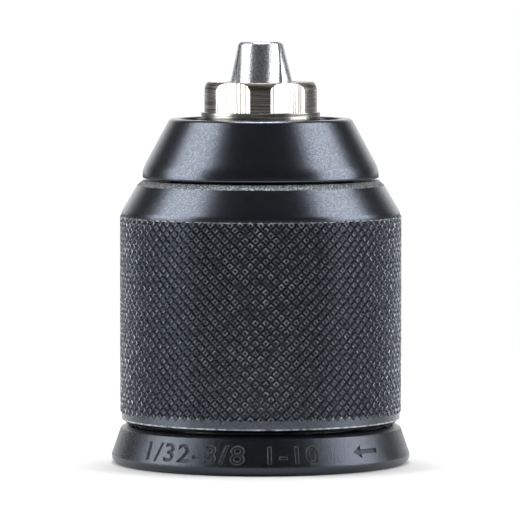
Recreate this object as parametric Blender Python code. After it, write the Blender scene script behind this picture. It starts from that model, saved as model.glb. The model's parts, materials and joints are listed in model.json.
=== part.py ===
"""Keyless drill chuck with three jaws, 10 mm capacity, and a ratchet lock.

The chuck stands on its rear ring with the jaws up (+Z) and the origin at the middle of its base.
Turning the sleeve turns a split conical nut, whose thread drives the toothed jaws along
their slanted bores. The lengths below are millimetres; meshes are scaled to metres by MM.
"""

import math

import bmesh
import bpy
from mathutils import Matrix, Vector

MM = 0.001
CLEARANCE = 0.3
ROUND_SEGMENTS = 40
SMOOTH_ANGLE = math.radians(32.0)

# Jaws: round rods on axes that lean inwards and meet on the chuck's axis.
JAW_COUNT = 3
JAW_TILT = math.radians(15.0)
JAW_RADIUS = 3.55
JAW_SEGMENTS = 24
JAW_TIP_Z = 64.2
JAW_REAR_Z = 29.6
JAW_MEET_Z = 62.9
FIRST_JAW_AZIMUTH = -98.4
JAW_TRAVEL = 19.3
JAW_TIP_FLAT = 0.35
JAW_TIP_ROUND = 0.5
JAW_BLANK_LENGTH = 40.0
BORE_RADIUS = JAW_RADIUS + 0.25
BORE_SPARE_LENGTH = 0.5
BORE_CUTTER_TOP = 10.0

# Thread between the nut and the jaws' backs.
THREAD_PITCH = 1.5
RIDGE_HEIGHT = 0.65
RIDGE_BASE = 0.42
RIDGE_CREST = 0.15
GROOVE_DEPTH = 0.65
GROOVE_MOUTH = 0.6
GROOVE_FLOOR = 0.35
TOOTHED_TOP_Z = 55.0

# Body.
REAR_FACE_Z = 0.5
SPIGOT_RADIUS = 15.7
FLANGE_RADIUS = 18.6
FLANGE_Z = (6.6, 17.4)
RATCHET_SEAT_RADIUS = 16.3
BEARING_SEAT_Z = 23.6
GUIDE_RADIUS = 13.9
NUT_GROOVE_Z = (28.9, 37.4)
NUT_GROOVE_RADIUS = 9.5
GUIDE_TOP_Z = 47.4
SHOULDER_RADIUS = 12.1
SHOULDER_TOP_Z = 48.6
COLLAR_RADIUS = 9.03
COLLAR_TOP_Z = 53.5
NOSE_RADIUS = 8.55
NOSE_TOP_RADIUS = 8.02
NOSE_CROWN_Z = 56.3
NOSE_TOP_Z = 58.1
SHANK_BORE_RADIUS = 5.3
SPINDLE_BORE_RADIUS = 6.1
SPINDLE_BORE_DEPTH = 16.5
FLAT_TO_FLAT = 16.0
FLAT_AZIMUTHS = (-121.5, -59.5, 58.5, 120.5)
FLAT_CUTTER = (6.0, 12.0, 6.0)
SPIGOT_BEVEL = 0.5
FLANGE_BEVEL = 0.3
BORE_MOUTH_BEVEL = 0.3
SPINDLE_BORE_BEVEL = 0.8

# Front cap.
CAP_BOTTOM_Z = 43.45
CAP_TOP_Z = 52.5
CAP_RADIUS = 17.99
CAP_MOUTH_RADIUS = 12.4
CAP_BORE_RADIUS = GUIDE_RADIUS + CLEARANCE

# Clamping sleeve.
SLEEVE_BOTTOM_Z = 6.3
SLEEVE_TOP_Z = 43.15
SLEEVE_RADIUS = 21.46
SLEEVE_BAND_RADIUS = 21.25
SLEEVE_BORE_RADIUS = 20.2
KNURL_Z = (8.3, 37.6)

# Rear ring.
RING_TOP_Z = 6.0
RING_RADIUS = 22.73
RING_BORE_RADIUS = SPIGOT_RADIUS + CLEARANCE

# Thrust bearing.
BALL_COUNT = 16
BALL_RADIUS = 1.2
BALL_CIRCLE_RADIUS = 16.05
RACE_THICKNESS = 1.0
RACE_RADII = (14.5, 17.3)
POCKET_RADIUS = BALL_RADIUS + CLEARANCE
POCKET_SEGMENTS = 12
CAGE_THICKNESS = 0.6
WASHER_BOTTOM_Z = BEARING_SEAT_Z + CLEARANCE
BALL_CENTRE_Z = WASHER_BOTTOM_Z + RACE_THICKNESS + CLEARANCE + BALL_RADIUS
RACE_BOTTOM_Z = BALL_CENTRE_Z + BALL_RADIUS + CLEARANCE

# Split nut and its cup.
NUT_BOTTOM_Z = 29.2
NUT_TOP_Z = 37.0
NUT_RADIUS = 15.4
NUT_SPLIT_AZIMUTH = 51.6
NUT_SPLIT_HALF_GAP = 0.8
NUT_HALF_SEGMENTS = 14
NUT_RIDGES = 4
FIRST_RIDGE_Z = 29.8
CUP_RADII = (NUT_RADIUS + CLEARANCE, 17.2)
CUP_TOP_Z = 37.1
CUP_WEB_TOP_Z = 30.2
SKIRT_RADII = (17.7, 18.5)
SKIRT_BOTTOM_Z = 22.4

# Lock: lugs on the cup, slots in the drive ring, ratchet ring, pawl and cam.
LOCK_TRAVEL = 15.0
LUG_COUNT = 3
FIRST_LUG_AZIMUTH = 30.0
LUG_WIDTH = 26.0
LUG_RADIUS = 19.0
LUG_Z = (31.2, 34.8)
LUG_PLAY = 1.0
LUG_ROOT_OVERLAP = 0.4
DRIVE_RING_Z = (30.9, 35.1)
DRIVE_RING_RADII = (17.5, 19.3, 19.9)
SLOT_STEPS = 6
LAND_STEPS = 10
SLOT_SIDE_TURN = 0.2
RATCHET_TEETH = 60
RATCHET_RADII = (RATCHET_SEAT_RADIUS + CLEARANCE, 17.2, 17.8)
RATCHET_Z = (17.7, 21.6)
TOOTH_STEEP_TURN = 0.4
PAWL_Z = (18.0, 21.4)
PAWL_PIVOT_AZIMUTH = -60.0
PAWL_RADIUS = 19.0
PAWL_THICKNESS = 0.7
PAWL_REACH = 35.0
PAWL_KNUCKLE_RADIUS = 0.85
PAWL_HOLE_RADIUS = 0.6
PIVOT_POST_RADIUS = 0.3
HOOK_TIP_RADIUS = 18.12
HOOK_WIDTH = 0.7
EAR_HALF_WIDTH = 4.0
EAR_RADII = (SKIRT_RADII[1] - 0.3, PAWL_RADIUS + 0.6)
EAR_Z = (SKIRT_BOTTOM_Z - 0.2, SKIRT_BOTTOM_Z + 1.6)
POST_TOP_Z = SKIRT_BOTTOM_Z + 0.6
CAM_RADII = (19.25, 19.9)
CAM_LEAD = 5.0
CAM_WIDTH = 24.0
CAM_RAMP_START = 0.15
CAM_STEPS = 4

# Detent spring on the cup, above the drive ring.
DETENT_Z = (35.6, 36.8)
DETENT_RADIUS = 17.5
DETENT_THICKNESS = 0.35
DETENT_BUMP = 0.7
DETENT_START_AZIMUTH = 150.0
DETENT_WIDTH = 44.0
DETENT_STEPS = 16


def polar(radius, azimuth, height=0.0):
    """Point at a radius and an azimuth in degrees."""
    angle = math.radians(azimuth)
    return Vector((radius * math.cos(angle), radius * math.sin(angle), height))


def jaw_azimuth(index):
    return FIRST_JAW_AZIMUTH + index * 360.0 / JAW_COUNT


def jaw_frame(index):
    """Placement of a jaw: local Z runs up its rod, local X is its toothed back."""
    outward = polar(1.0, jaw_azimuth(index))
    up = Vector((0.0, 0.0, 1.0))
    along = up * math.cos(JAW_TILT) - outward * math.sin(JAW_TILT)
    back = outward * math.cos(JAW_TILT) + up * math.sin(JAW_TILT)
    side = along.cross(back)
    turn = Matrix((back, side, along)).transposed().to_4x4()
    return Matrix.Translation(Vector((0.0, 0.0, JAW_MEET_Z * MM))) @ turn


def jaw_axis_radius(height):
    return (JAW_MEET_Z - height) * math.tan(JAW_TILT)


def material(name, colour, roughness, metallic):
    """Principled material with one plain colour."""
    made = bpy.data.materials.new(name)
    made.use_nodes = True
    shader = made.node_tree.nodes["Principled BSDF"]
    shader.inputs["Base Color"].default_value = (*colour, 1.0)
    shader.inputs["Roughness"].default_value = roughness
    shader.inputs["Metallic"].default_value = metallic
    return made


def add_object(name, mesh_builder, look):
    """Turn a bmesh in millimetres into a named object in metres, shaded smooth."""
    bmesh.ops.scale(mesh_builder, vec=(MM, MM, MM), verts=mesh_builder.verts)
    bmesh.ops.recalc_face_normals(mesh_builder, faces=mesh_builder.faces)
    mesh = bpy.data.meshes.new(name)
    mesh_builder.to_mesh(mesh)
    mesh_builder.free()
    mesh.shade_smooth()
    mesh.set_sharp_from_angle(angle=SMOOTH_ANGLE)
    made = bpy.data.objects.new(name, mesh)
    bpy.context.scene.collection.objects.link(made)
    if look is not None:
        mesh.materials.append(look)
    return made


def skin_sections(sections, closed):
    """Skin a list of equal cross-sections, round in a ring or capped at both ends."""
    made = bmesh.new()
    rows = [[made.verts.new(point) for point in section] for section in sections]
    count = len(rows[0])
    pairs = list(zip(rows, rows[1:]))
    if closed:
        pairs.append((rows[-1], rows[0]))
    for near, far in pairs:
        for index in range(count):
            after = (index + 1) % count
            made.faces.new((near[index], near[after], far[after], far[index]))
    if not closed:
        made.faces.new(rows[0])
        made.faces.new(reversed(rows[-1]))
    return made


def turned(outline, segments=ROUND_SEGMENTS):
    """Revolve a closed (radius, height) outline about the chuck's axis."""
    sections = []
    for step in range(segments):
        azimuth = 360.0 * step / segments
        sections.append([polar(radius, azimuth, height) for radius, height in outline])
    return skin_sections(sections, closed=True)


def rounded(corner, before, after, radius, steps=2):
    """Points of a fillet at a corner of an outline, between its two neighbours."""
    corner = Vector(corner)
    to_before = (Vector(before) - corner).normalized()
    to_after = (Vector(after) - corner).normalized()
    half = to_before.angle(to_after) / 2.0
    centre = corner + (to_before + to_after).normalized() * (radius / math.sin(half))
    start = corner + to_before * (radius / math.tan(half)) - centre
    sweep = start.angle_signed(corner + to_after * (radius / math.tan(half)) - centre)
    points = []
    for step in range(steps + 1):
        arm = start.copy()
        arm.rotate(Matrix.Rotation(-sweep * step / steps, 2))
        points.append(tuple(centre + arm))
    return points


def plan_sections(azimuths, inner_radii, outer_radii, low, high):
    """Cross-sections of a flat ring whose inner and outer radii change with the azimuth."""
    sections = []
    for azimuth, inner, outer in zip(azimuths, inner_radii, outer_radii):
        corners = ((inner, low), (outer, low), (outer, high), (inner, high))
        sections.append([polar(radius, azimuth, height) for radius, height in corners])
    return sections


def plain_ring(name, radii, heights, look):
    """Washer-shaped piece."""
    inner, outer = radii
    low, high = heights
    return add_object(name, turned([(inner, low), (outer, low), (outer, high), (inner, high)]), look)


def add_round_bar(mesh_builder, radius, length, place, segments):
    """Add a capped cylinder to a bmesh, centred on a placement's origin."""
    bmesh.ops.create_cone(
        mesh_builder,
        cap_ends=True,
        segments=segments,
        radius1=radius,
        radius2=radius,
        depth=length,
        matrix=place,
    )


def cylinder(radius, low, high, segments):
    """Solid round bar along local Z."""
    made = bmesh.new()
    middle = Matrix.Translation((0.0, 0.0, (low + high) / 2.0))
    add_round_bar(made, radius, high - low, middle, segments)
    return made


def box(size, centre):
    made = bmesh.new()
    bmesh.ops.create_cube(made, size=1.0, matrix=Matrix.Translation(centre) @ Matrix.Diagonal((*size, 1.0)))
    return made


def tool(name, mesh_builder):
    """Cutter or join shape that is not itself a piece."""
    made = add_object(name, mesh_builder, None)
    made.hide_render = True
    made.display_type = "WIRE"
    return made


def combine(target, other, operation):
    """Leave a Boolean modifier on the target."""
    modifier = target.modifiers.new(other.name, "BOOLEAN")
    modifier.operation = operation
    modifier.solver = "EXACT"
    modifier.object = other


def slice_off(mesh_builder, point, normal):
    """Cut away everything in front of a plane and close the cut."""
    everything = list(mesh_builder.verts) + list(mesh_builder.edges) + list(mesh_builder.faces)
    bmesh.ops.bisect_plane(mesh_builder, geom=everything, plane_co=point, plane_no=normal, clear_outer=True)
    rim = [edge for edge in mesh_builder.edges if edge.is_boundary]
    bmesh.ops.holes_fill(mesh_builder, edges=rim, sides=0)


def jaw_groove_places(index):
    """Distances up a jaw's rod, from where the axes meet, at which its grooves are centred."""
    upright_pitch = THREAD_PITCH * math.cos(JAW_TILT)
    turn = (jaw_azimuth(index) - NUT_SPLIT_AZIMUTH) % 360.0 / 360.0
    offset = JAW_RADIUS / math.cos(JAW_TILT) + CLEARANCE
    height = FIRST_RIDGE_Z + turn * upright_pitch - upright_pitch * 2
    places = []
    while height < TOOTHED_TOP_Z:
        places.append((height - JAW_MEET_Z) / math.cos(JAW_TILT) - offset * math.sin(JAW_TILT))
        height += upright_pitch
    return places


def tooth_comb(index):
    """Comb that cuts the row of thread grooves into a jaw's back."""
    overshoot = 0.3
    slope = (GROOVE_MOUTH - GROOVE_FLOOR) / GROOVE_DEPTH
    wide = GROOVE_MOUTH + slope * overshoot
    outer = JAW_RADIUS + overshoot
    floor = JAW_RADIUS - GROOVE_DEPTH
    places = jaw_groove_places(index)
    outline = [(outer + 1.0, places[0] - 1.0)]
    for place in places:
        outline += [(outer, place - wide), (floor, place - GROOVE_FLOOR)]
        outline += [(floor, place + GROOVE_FLOOR), (outer, place + wide)]
    outline.append((outer + 1.0, places[-1] + 1.0))
    sections = []
    for side in (-JAW_RADIUS - 1.0, JAW_RADIUS + 1.0):
        sections.append([Vector((back, side, along)) for back, along in outline])
    return skin_sections(sections, closed=False)


def round_tip(mesh_builder):
    """Round the outer edge of a jaw's tip."""
    edges = []
    for edge in mesh_builder.edges:
        on_top = all(abs(vert.co.z - JAW_TIP_Z) < 0.001 for vert in edge.verts)
        outside = all(vert.co.xy.length > JAW_RADIUS * 0.8 for vert in edge.verts)
        if on_top and outside:
            edges.append(edge)
    bmesh.ops.bevel(mesh_builder, geom=edges, offset=JAW_TIP_ROUND, segments=2, profile=0.5, affect="EDGES")


def build_jaw(index, look):
    """Round jaw with a three-sided gripping tip and thread teeth on its back."""
    place = jaw_frame(index)
    place_in_mm = Matrix.Scale(1.0 / MM, 4) @ place @ Matrix.Scale(MM, 4)
    rear = (JAW_REAR_Z - JAW_MEET_Z) / math.cos(JAW_TILT)
    rod = cylinder(JAW_RADIUS, rear, rear + JAW_BLANK_LENGTH, JAW_SEGMENTS)
    bmesh.ops.transform(rod, matrix=place_in_mm, verts=rod.verts)
    slice_off(rod, Vector((0.0, 0.0, JAW_TIP_Z)), Vector((0.0, 0.0, 1.0)))
    half_sector = 180.0 / JAW_COUNT
    for side in (-1.0, 1.0):
        outside = polar(1.0, jaw_azimuth(index) + side * (half_sector + 90.0))
        slice_off(rod, -outside * CLEARANCE / 2.0, outside)
    inward = -polar(1.0, jaw_azimuth(index))
    slice_off(rod, -inward * JAW_TIP_FLAT, inward)
    round_tip(rod)
    bmesh.ops.transform(rod, matrix=place_in_mm.inverted(), verts=rod.verts)
    jaw = add_object(f"jaw_{index + 1}", rod, look)
    jaw.matrix_world = place
    comb = tool(f"jaw_{index + 1}_comb", tooth_comb(index))
    comb.matrix_world = place
    combine(jaw, comb, "DIFFERENCE")
    return jaw


def nose_crown(steps=4):
    """Quarter ellipse from the nose's side to its top."""
    points = []
    for step in range(steps + 1):
        angle = math.pi / 2.0 * step / steps
        radius = NOSE_TOP_RADIUS + (NOSE_RADIUS - NOSE_TOP_RADIUS) * math.cos(angle)
        points.append((radius, NOSE_CROWN_Z + (NOSE_TOP_Z - NOSE_CROWN_Z) * math.sin(angle)))
    return points


def build_body(look):
    """Body: rear spigot, flange, bearing guide, nut groove, front guide, collar and nose."""
    flange_low, flange_high = FLANGE_Z
    groove_low, groove_high = NUT_GROOVE_Z
    spindle_top = REAR_FACE_Z + SPINDLE_BORE_DEPTH
    outline = [
        (SPINDLE_BORE_RADIUS + SPINDLE_BORE_BEVEL, REAR_FACE_Z),
        (SPIGOT_RADIUS - SPIGOT_BEVEL, REAR_FACE_Z),
        (SPIGOT_RADIUS, REAR_FACE_Z + SPIGOT_BEVEL),
        (SPIGOT_RADIUS, flange_low),
        (FLANGE_RADIUS - FLANGE_BEVEL, flange_low),
        (FLANGE_RADIUS, flange_low + FLANGE_BEVEL),
        (FLANGE_RADIUS, flange_high),
        (RATCHET_SEAT_RADIUS, flange_high),
        (RATCHET_SEAT_RADIUS, BEARING_SEAT_Z),
        (GUIDE_RADIUS, BEARING_SEAT_Z),
        (GUIDE_RADIUS, groove_low),
        (NUT_GROOVE_RADIUS, groove_low),
        (NUT_GROOVE_RADIUS, groove_high),
        (GUIDE_RADIUS, groove_high),
        (GUIDE_RADIUS, GUIDE_TOP_Z),
        (SHOULDER_RADIUS, SHOULDER_TOP_Z),
        (COLLAR_RADIUS, SHOULDER_TOP_Z),
        (COLLAR_RADIUS, COLLAR_TOP_Z),
        (NOSE_RADIUS, COLLAR_TOP_Z),
    ]
    outline += nose_crown()
    outline += [
        (SHANK_BORE_RADIUS + BORE_MOUTH_BEVEL, NOSE_TOP_Z),
        (SHANK_BORE_RADIUS, NOSE_TOP_Z - BORE_MOUTH_BEVEL),
        (SHANK_BORE_RADIUS, spindle_top + SPINDLE_BORE_BEVEL),
        (SPINDLE_BORE_RADIUS, spindle_top),
        (SPINDLE_BORE_RADIUS, REAR_FACE_Z + SPINDLE_BORE_BEVEL),
    ]
    body = add_object("chuck_body", turned(outline), look)
    bore_low = (JAW_REAR_Z - JAW_MEET_Z) / math.cos(JAW_TILT) - JAW_TRAVEL - BORE_SPARE_LENGTH
    for index in range(JAW_COUNT):
        drill = cylinder(BORE_RADIUS, bore_low, BORE_CUTTER_TOP, JAW_SEGMENTS)
        bore = tool(f"jaw_bore_{index + 1}", drill)
        bore.matrix_world = jaw_frame(index)
        combine(body, bore, "DIFFERENCE")
    depth, _, height = FLAT_CUTTER
    centre = (FLAT_TO_FLAT / 2.0 + depth / 2.0, 0.0, COLLAR_TOP_Z + height / 2.0)
    for number, azimuth in enumerate(FLAT_AZIMUTHS):
        milled = tool(f"flat_{number + 1}_cutter", box(FLAT_CUTTER, centre))
        milled.rotation_euler.z = math.radians(azimuth)
        combine(body, milled, "DIFFERENCE")
    return body


def build_front_cap(look):
    """Cone-shaped cap pressed on the body's front guide."""
    top_edge = (13.85, CAP_TOP_Z)
    cone_foot = (CAP_RADIUS, 44.83)
    bottom_edge = (CAP_RADIUS, CAP_BOTTOM_Z)
    inner_bottom = (CAP_BORE_RADIUS, CAP_BOTTOM_Z)
    mouth_edge = (CAP_MOUTH_RADIUS, CAP_TOP_Z)
    outline = [inner_bottom]
    outline += rounded(bottom_edge, inner_bottom, cone_foot, 0.2, steps=1)
    outline += rounded(cone_foot, bottom_edge, top_edge, 4.2, steps=4)
    outline += rounded(top_edge, cone_foot, mouth_edge, 0.8, steps=3)
    outline += rounded(mouth_edge, top_edge, (CAP_MOUTH_RADIUS, 49.0), 0.3)
    outline += [(CAP_MOUTH_RADIUS, 49.4), (CAP_BORE_RADIUS, 48.1)]
    return add_object("front_cap", turned(outline), look)


def build_sleeve(look):
    """Clamping sleeve: shoulder, cone, knurled grip as its outer size, and a plain rear band."""
    knurl_low, knurl_high = KNURL_Z
    shoulder_top = (17.95, SLEEVE_TOP_Z)
    shoulder_foot = (18.8, 42.4)
    cone_foot = (21.22, 38.3)
    web_bore = GUIDE_RADIUS + 0.5
    outline = [
        (SLEEVE_BORE_RADIUS, SLEEVE_BOTTOM_Z),
        (20.6, SLEEVE_BOTTOM_Z),
        (SLEEVE_BAND_RADIUS, 6.75),
        (SLEEVE_BAND_RADIUS, knurl_low),
        (SLEEVE_RADIUS, knurl_low + 0.2),
        (SLEEVE_RADIUS, knurl_high - 0.15),
        (cone_foot[0], knurl_high),
    ]
    outline += rounded(cone_foot, (cone_foot[0], knurl_high), shoulder_foot, 1.2)
    outline += [shoulder_foot, shoulder_top, (web_bore, SLEEVE_TOP_Z), (web_bore, 40.6)]
    outline += [(18.0, 40.6), (18.0, 38.0), (19.3, 37.3), (SLEEVE_BORE_RADIUS, 36.4)]
    return add_object("clamping_sleeve", turned(outline), look)


def build_rear_ring(look):
    """Flared plastic ring pressed on the body's rear spigot."""
    shoulder = (20.3, RING_TOP_Z)
    flare_top = (21.4, 5.4)
    flare_foot = (RING_RADIUS + 0.05, 1.35)
    base_edge = (22.6, 0.0)
    inner_base = (RING_BORE_RADIUS, 0.0)
    outline = [inner_base]
    outline += rounded(base_edge, inner_base, flare_foot, 1.1, steps=3)
    outline += rounded(flare_foot, base_edge, flare_top, 0.9, steps=2)
    outline += rounded(flare_top, flare_foot, shoulder, 0.3, steps=1)
    outline += [shoulder, (RING_BORE_RADIUS, RING_TOP_Z)]
    return add_object("rear_ring", turned(outline), look)


def build_bearing(steel, brass):
    """Lower washer, upper race, cage and loose balls."""
    washer_heights = (WASHER_BOTTOM_Z, WASHER_BOTTOM_Z + RACE_THICKNESS)
    race_heights = (RACE_BOTTOM_Z, RACE_BOTTOM_Z + RACE_THICKNESS)
    plain_ring("bearing_washer", RACE_RADII, washer_heights, steel)
    race = plain_ring("bearing_race", RACE_RADII, race_heights, steel)
    half = CAGE_THICKNESS / 2.0
    cage = plain_ring("ball_cage", RACE_RADII, (BALL_CENTRE_Z - half, BALL_CENTRE_Z + half), brass)
    pockets = bmesh.new()
    balls = []
    for number in range(BALL_COUNT):
        centre = polar(BALL_CIRCLE_RADIUS, 360.0 * number / BALL_COUNT, BALL_CENTRE_Z)
        place = Matrix.Translation(centre)
        add_round_bar(pockets, POCKET_RADIUS, 2.0 * CAGE_THICKNESS, place, POCKET_SEGMENTS)
        ball_mesh = bmesh.new()
        bmesh.ops.create_icosphere(ball_mesh, subdivisions=2, radius=BALL_RADIUS)
        ball = add_object(f"ball_{number + 1:02d}", ball_mesh, steel)
        ball.location = centre * MM
        balls.append(ball)
    combine(cage, tool("cage_pockets", pockets), "DIFFERENCE")
    return race, cage, balls


def nut_section(azimuth):
    """Cross-section of the nut at an azimuth, with the thread's ridges where they pass."""
    offset = JAW_RADIUS / math.cos(JAW_TILT) + CLEARANCE
    bore_top = jaw_axis_radius(NUT_TOP_Z) + offset
    bore_bottom = jaw_axis_radius(NUT_BOTTOM_Z) + offset
    along = Vector((-math.sin(JAW_TILT), math.cos(JAW_TILT)))
    inward = Vector((-math.cos(JAW_TILT), -math.sin(JAW_TILT)))
    upright_pitch = THREAD_PITCH * math.cos(JAW_TILT)
    points = [(NUT_RADIUS, NUT_BOTTOM_Z), (NUT_RADIUS, NUT_TOP_Z), (bore_top, NUT_TOP_Z)]
    turn = (azimuth - NUT_SPLIT_AZIMUTH) / 360.0
    for ridge in reversed(range(NUT_RIDGES)):
        height = FIRST_RIDGE_Z + (turn + ridge) * upright_pitch
        foot = Vector((jaw_axis_radius(height) + offset, height))
        crest = foot + inward * RIDGE_HEIGHT
        points += [tuple(foot + along * RIDGE_BASE), tuple(crest + along * RIDGE_CREST)]
        points += [tuple(crest - along * RIDGE_CREST), tuple(foot - along * RIDGE_BASE)]
    points.append((bore_bottom, NUT_BOTTOM_Z))
    return [polar(radius, azimuth, height) for radius, height in points]


def build_nut_half(name, first_azimuth, look):
    """One half of the split conical nut, with a right-hand thread inside."""
    start = first_azimuth + NUT_SPLIT_HALF_GAP
    sweep = 180.0 - 2.0 * NUT_SPLIT_HALF_GAP
    sections = []
    for step in range(NUT_HALF_SEGMENTS + 1):
        sections.append(nut_section(start + sweep * step / NUT_HALF_SEGMENTS))
    return add_object(name, skin_sections(sections, closed=False), look)


def lug_centre(number):
    return FIRST_LUG_AZIMUTH + number * 360.0 / LUG_COUNT


def arc_block(sides, radii, heights, steps=4):
    """Solid block between two radii and two azimuths."""
    start, end = sides
    azimuths = [start + (end - start) * step / steps for step in range(steps + 1)]
    inner = [radii[0]] * len(azimuths)
    outer = [radii[1]] * len(azimuths)
    return skin_sections(plan_sections(azimuths, inner, outer, *heights), closed=False)


def build_nut_cup(look):
    """Cup pressed over the nut halves, with a skirt round the bearing, lugs and a pivot post."""
    inner, outer = CUP_RADII
    skirt_inner, skirt_outer = SKIRT_RADII
    outline = [
        (inner, NUT_BOTTOM_Z),
        (skirt_inner, NUT_BOTTOM_Z),
        (skirt_inner, SKIRT_BOTTOM_Z),
        (skirt_outer, SKIRT_BOTTOM_Z),
        (skirt_outer, CUP_WEB_TOP_Z),
        (outer, CUP_WEB_TOP_Z),
        (outer, CUP_TOP_Z),
        (inner, CUP_TOP_Z),
    ]
    cup = add_object("nut_cup", turned(outline), look)
    for number in range(LUG_COUNT):
        centre = lug_centre(number)
        sides = (centre - LUG_WIDTH / 2.0, centre + LUG_WIDTH / 2.0)
        lug = arc_block(sides, (outer - LUG_ROOT_OVERLAP, LUG_RADIUS), LUG_Z)
        combine(cup, tool(f"cup_lug_{number + 1}", lug), "UNION")
    ear_sides = (PAWL_PIVOT_AZIMUTH - EAR_HALF_WIDTH, PAWL_PIVOT_AZIMUTH + EAR_HALF_WIDTH)
    combine(cup, tool("pawl_ear", arc_block(ear_sides, EAR_RADII, EAR_Z)), "UNION")
    post = tool("pivot_post", cylinder(PIVOT_POST_RADIUS, PAWL_Z[0], POST_TOP_Z, 10))
    post.location = polar(PAWL_RADIUS, PAWL_PIVOT_AZIMUTH) * MM
    combine(cup, post, "UNION")
    return cup


def build_drive_ring(look):
    """Ring inside the sleeve whose slots let the cup's lugs travel while the lock sets."""
    inner, slot, outer = DRIVE_RING_RADII
    pitch = 360.0 / LUG_COUNT
    azimuths = []
    inner_radii = []
    for number in range(LUG_COUNT):
        slot_from = lug_centre(number) - LUG_WIDTH / 2.0 - LUG_PLAY
        slot_to = lug_centre(number) + LUG_WIDTH / 2.0 + LOCK_TRAVEL + LUG_PLAY
        for step in range(SLOT_STEPS + 1):
            azimuths.append(slot_from + (slot_to - slot_from) * step / SLOT_STEPS)
            inner_radii.append(slot)
        land_from = slot_to + SLOT_SIDE_TURN
        land_to = slot_from + pitch - SLOT_SIDE_TURN
        for step in range(LAND_STEPS + 1):
            azimuths.append(land_from + (land_to - land_from) * step / LAND_STEPS)
            inner_radii.append(inner)
    sections = plan_sections(azimuths, inner_radii, [outer] * len(azimuths), *DRIVE_RING_Z)
    return add_object("drive_ring", skin_sections(sections, closed=True), look)


def build_ratchet_ring(look):
    """Ring of saw teeth pressed on the body; the steep flanks face against opening."""
    inner, root, tip = RATCHET_RADII
    pitch = 360.0 / RATCHET_TEETH
    azimuths = []
    outer_radii = []
    for number in range(RATCHET_TEETH):
        azimuths += [number * pitch, number * pitch + TOOTH_STEEP_TURN]
        outer_radii += [root, tip]
    sections = plan_sections(azimuths, [inner] * len(azimuths), outer_radii, *RATCHET_Z)
    return add_object("ratchet_ring", skin_sections(sections, closed=True), look)


def build_pawl(look):
    """Curved arm with a knuckle on the cup's post and a hook that drops between the teeth."""
    low, high = PAWL_Z
    half = PAWL_THICKNESS / 2.0
    steps = 12
    hook_azimuth = PAWL_PIVOT_AZIMUTH + PAWL_REACH
    azimuths = []
    inner_radii = []
    for step in range(steps + 1):
        azimuths.append(PAWL_PIVOT_AZIMUTH + 1.5 + (PAWL_REACH - 3.0) * step / steps)
        inner_radii.append(PAWL_RADIUS - half)
    azimuths += [hook_azimuth - HOOK_WIDTH, hook_azimuth]
    inner_radii += [HOOK_TIP_RADIUS, HOOK_TIP_RADIUS]
    outer_radii = [PAWL_RADIUS + half] * len(azimuths)
    arm = skin_sections(plan_sections(azimuths, inner_radii, outer_radii, low, high), closed=False)
    pivot = polar(PAWL_RADIUS, PAWL_PIVOT_AZIMUTH)
    bmesh.ops.translate(arm, vec=-pivot, verts=arm.verts)
    pawl = add_object("pawl", arm, look)
    knuckle = tool("pawl_knuckle", cylinder(PAWL_KNUCKLE_RADIUS, low, high, 16))
    hole = tool("pawl_hole", cylinder(PAWL_HOLE_RADIUS, low - 1.0, high + 1.0, 16))
    for piece in (pawl, knuckle, hole):
        piece.location = pivot * MM
    combine(pawl, knuckle, "UNION")
    combine(pawl, hole, "DIFFERENCE")
    return pawl


def build_lock_cam(look):
    """Short inner ramp of the sleeve that backs the pawl's hook when the sleeve is locked."""
    start = PAWL_PIVOT_AZIMUTH + PAWL_REACH + 1.0
    azimuths = [start, start + CAM_LEAD]
    for step in range(1, CAM_STEPS + 1):
        azimuths.append(start + CAM_LEAD + CAM_WIDTH * step / CAM_STEPS)
    inner, outer = CAM_RADII
    inner_radii = [outer - CAM_RAMP_START] + [inner] * (CAM_STEPS + 1)
    sections = plan_sections(azimuths, inner_radii, [outer] * len(azimuths), *PAWL_Z)
    return add_object("lock_cam", skin_sections(sections, closed=False), look)


def build_detent_spring(look):
    """Bowed strip on the cup that clicks the sleeve into its open or locked place."""
    azimuths = []
    inner_radii = []
    for step in range(DETENT_STEPS + 1):
        share = step / DETENT_STEPS
        azimuths.append(DETENT_START_AZIMUTH + DETENT_WIDTH * share)
        inner_radii.append(DETENT_RADIUS + DETENT_BUMP * math.sin(math.pi * share) ** 4)
    outer_radii = [radius + DETENT_THICKNESS for radius in inner_radii]
    sections = plan_sections(azimuths, inner_radii, outer_radii, *DETENT_Z)
    return add_object("detent_spring", skin_sections(sections, closed=False), look)


def group(name, pieces):
    """Empty on the chuck's axis that carries the pieces that move together."""
    holder = bpy.data.objects.new(name, None)
    bpy.context.scene.collection.objects.link(holder)
    for piece in pieces:
        piece.parent = holder
    return holder


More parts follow.
